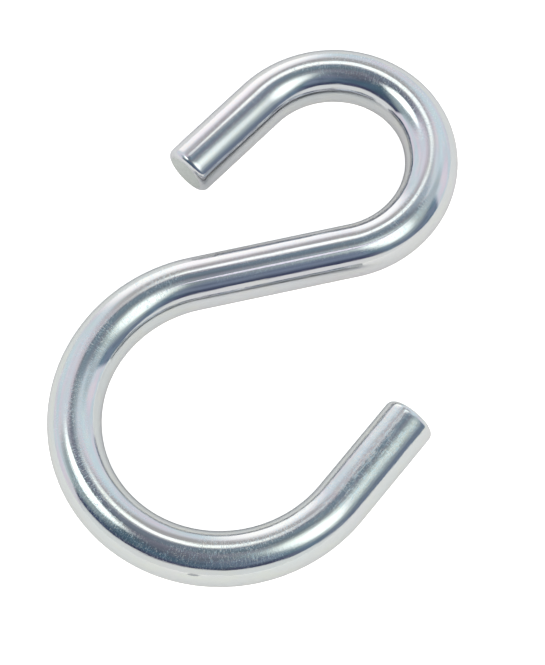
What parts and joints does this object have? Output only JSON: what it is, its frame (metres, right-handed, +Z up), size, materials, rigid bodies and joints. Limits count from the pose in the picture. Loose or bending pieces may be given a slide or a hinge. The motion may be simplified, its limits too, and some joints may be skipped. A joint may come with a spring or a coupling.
{
  "type": "s hook",
  "caption": "Open S hook bent from one round steel rod: a small hook at one end, a large hook at the other, both with square-cut ends.",
  "frame": {"origin": "middle of the footprint, on the surface that the hook lies on", "axes": "+Y along the line from the large bend's centre to the small bend's centre, +Z up out of the hook's plane, +X towards the large hook's cut end"},
  "size_m": [0.041, 0.0664, 0.006],
  "materials": {
    "zinc_plated_steel": "bright zinc plate on drawn steel rod, glossy, with a faint blue tint and fine drawing lines; the cut ends are duller"
  },
  "bodies": {
    "root": {"hook": "zinc_plated_steel"}
  },
  "joints": []
}
